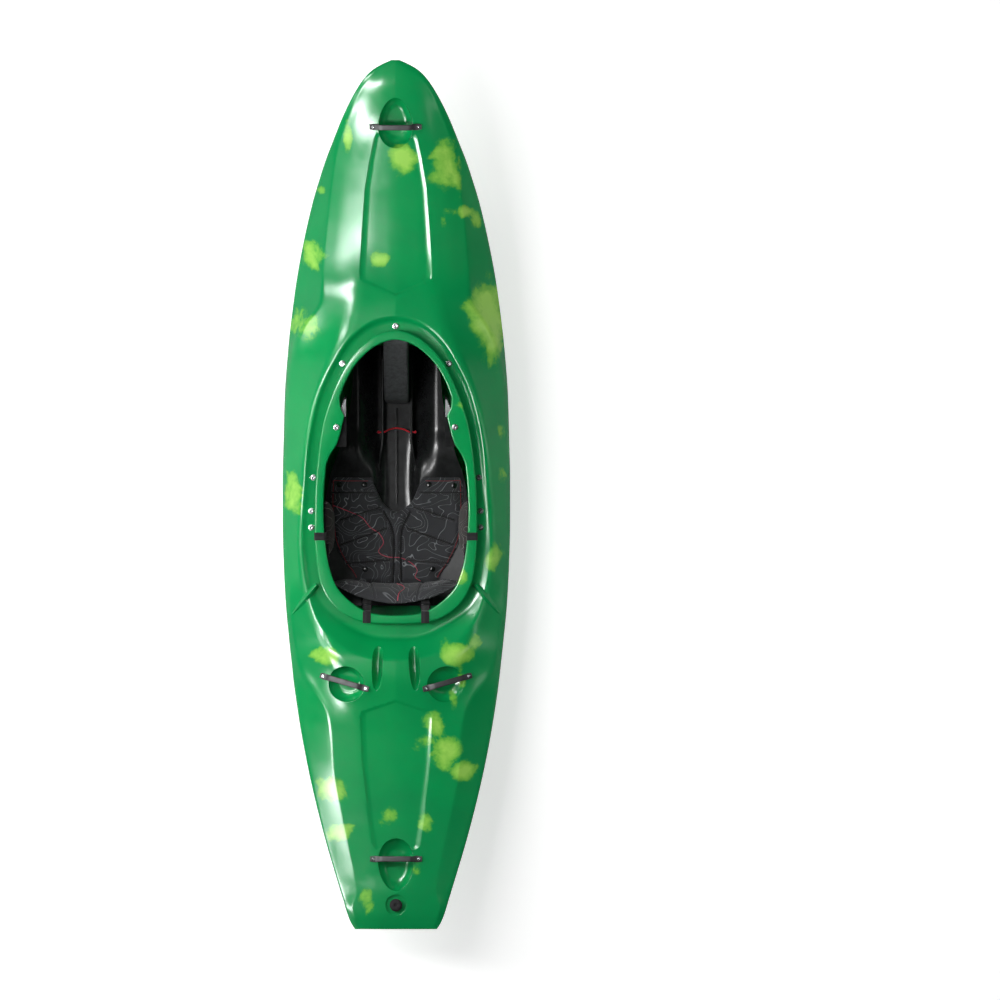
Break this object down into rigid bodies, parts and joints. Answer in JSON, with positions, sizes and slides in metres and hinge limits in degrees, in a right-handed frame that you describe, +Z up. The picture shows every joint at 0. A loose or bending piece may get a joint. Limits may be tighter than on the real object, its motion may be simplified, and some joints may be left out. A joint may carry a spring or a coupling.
{
  "type": "whitewater kayak",
  "caption": "Short whitewater kayak: rockered one-piece plastic hull with flat-ended stern, rimmed cockpit, padded seat, backband, thigh braces, foot plates and grab handles.",
  "frame": {"origin": "on the surface the hull stands on, below the middle of its bounding box", "axes": "+Y towards the bow, +X to starboard, +Z up"},
  "size_m": [0.701, 2.7, 0.447],
  "materials": {
    "hull": "marbled green with lime blotches, satin",
    "black_plastic": "semi-gloss",
    "matt_black_plastic": "matt",
    "steel": "brushed",
    "aluminium": "satin",
    "foam": "closed-cell foam, matt",
    "padded_cloth": "woven, with pale contour lines",
    "webbing": "woven",
    "rubber": "matt",
    "red_cord": "braided"
  },
  "bodies": {
    "boat": {"hull_shell": "hull", "pillar_bolt": "steel", "left_front_bolt": "steel", "left_side_bolt": "steel", "left_hanger_bolt_1": "steel", "left_hanger_bolt_2": "steel", "left_thigh_bolt": "steel", "left_rail_bolt_1": "steel", "left_rail_bolt_2": "steel", "right_front_bolt": "steel", "right_side_bolt": "steel", "right_hanger_bolt_1": "steel", "right_hanger_bolt_2": "steel", "right_thigh_bolt": "steel", "right_rail_bolt_1": "steel", "right_rail_bolt_2": "steel", "bow_handle": "black_plastic", "bow_handle_screw_1": "steel", "bow_handle_screw_2": "steel", "left_rear_handle": "black_plastic", "left_rear_handle_screw_1": "steel", "left_rear_handle_screw_2": "steel", "right_rear_handle": "black_plastic", "right_rear_handle_screw_1": "steel", "right_rear_handle_screw_2": "steel", "stern_handle": "black_plastic", "stern_handle_screw_1": "steel", "stern_handle_screw_2": "steel", "drain_collar": "black_plastic", "seat_moulding": "black_plastic", "seat_pad": "padded_cloth", "left_hip_pad": "padded_cloth", "right_hip_pad": "padded_cloth", "left_side_strap": "webbing", "left_rear_strap": "webbing", "right_side_strap": "webbing", "right_rear_strap": "webbing", "left_ratchet_base": "black_plastic", "left_ladder_strap": "matt_black_plastic", "right_ratchet_base": "black_plastic", "right_ladder_strap": "matt_black_plastic", "left_foot_rail": "aluminium", "right_foot_rail": "aluminium", "bow_pillar": "foam", "stern_pillar": "foam", "tie_cord": "red_cord"},
    "left_foot": {"left_foot_plate": "aluminium", "left_foot_pad": "foam"},
    "right_foot": {"right_foot_plate": "aluminium", "right_foot_pad": "foam"},
    "backband": {"backband_pad": "padded_cloth", "backband_plate": "matt_black_plastic"},
    "left_ratchet": {"left_ratchet_lever": "matt_black_plastic"},
    "right_ratchet": {"right_ratchet_lever": "matt_black_plastic"},
    "left_thigh": {"left_thigh_brace": "matt_black_plastic", "left_thigh_pad": "foam"},
    "right_thigh": {"right_thigh_brace": "matt_black_plastic", "right_thigh_pad": "foam"},
    "drain_ring": {"drain_gasket": "rubber"},
    "drain_cap": {"drain_plug": "matt_black_plastic"}
  },
  "joints": [
    {"name": "drain_lift", "type": "slide", "parent": "boat", "child": "drain_ring", "axis": [0, 0, 1], "range_m": [0, 0.0081]},
    {"name": "drain_turn", "type": "hinge", "parent": "drain_ring", "child": "drain_cap", "pos_m": [0, -1.2744, 0.29], "axis": [0, 0, 1], "range_deg": [0, 720]},
    {"name": "left_foot_slide", "type": "slide", "parent": "boat", "child": "left_foot", "axis": [0, 1, 0], "range_m": [-0.06, 0.06]},
    {"name": "right_foot_slide", "type": "slide", "parent": "boat", "child": "right_foot", "axis": [0, 1, 0], "range_m": [-0.06, 0.06]},
    {"name": "backband_tilt", "type": "hinge", "parent": "boat", "child": "backband", "pos_m": [0, -0.28343, 0.123], "axis": [1, 0, 0], "range_deg": [-30, 8], "deforming": ["left_rear_strap", "right_rear_strap", "left_ladder_strap", "right_ladder_strap"]},
    {"name": "left_ratchet_lift", "type": "hinge", "parent": "boat", "child": "left_ratchet", "pos_m": [-0.21505, -0.1896, 0.19], "axis": [0, 0, -1], "range_deg": [0, 40], "stiffness_Nm_per_rad": 0.05},
    {"name": "right_ratchet_lift", "type": "hinge", "parent": "boat", "child": "right_ratchet", "pos_m": [0.21505, -0.1896, 0.19], "axis": [0, 0, 1], "range_deg": [0, 40], "stiffness_Nm_per_rad": 0.05},
    {"name": "left_thigh_slide", "type": "slide", "parent": "boat", "child": "left_thigh", "axis": [0, 0.9748, 0.223], "range_m": [-0.012, 0.012]},
    {"name": "right_thigh_slide", "type": "slide", "parent": "boat", "child": "right_thigh", "axis": [0, 0.9748, 0.223], "range_m": [-0.012, 0.012]}
  ],
  "couplings": [
    {"joint": "drain_lift", "follows": "drain_turn", "m_per_rad": 0.00063662}
  ]
}
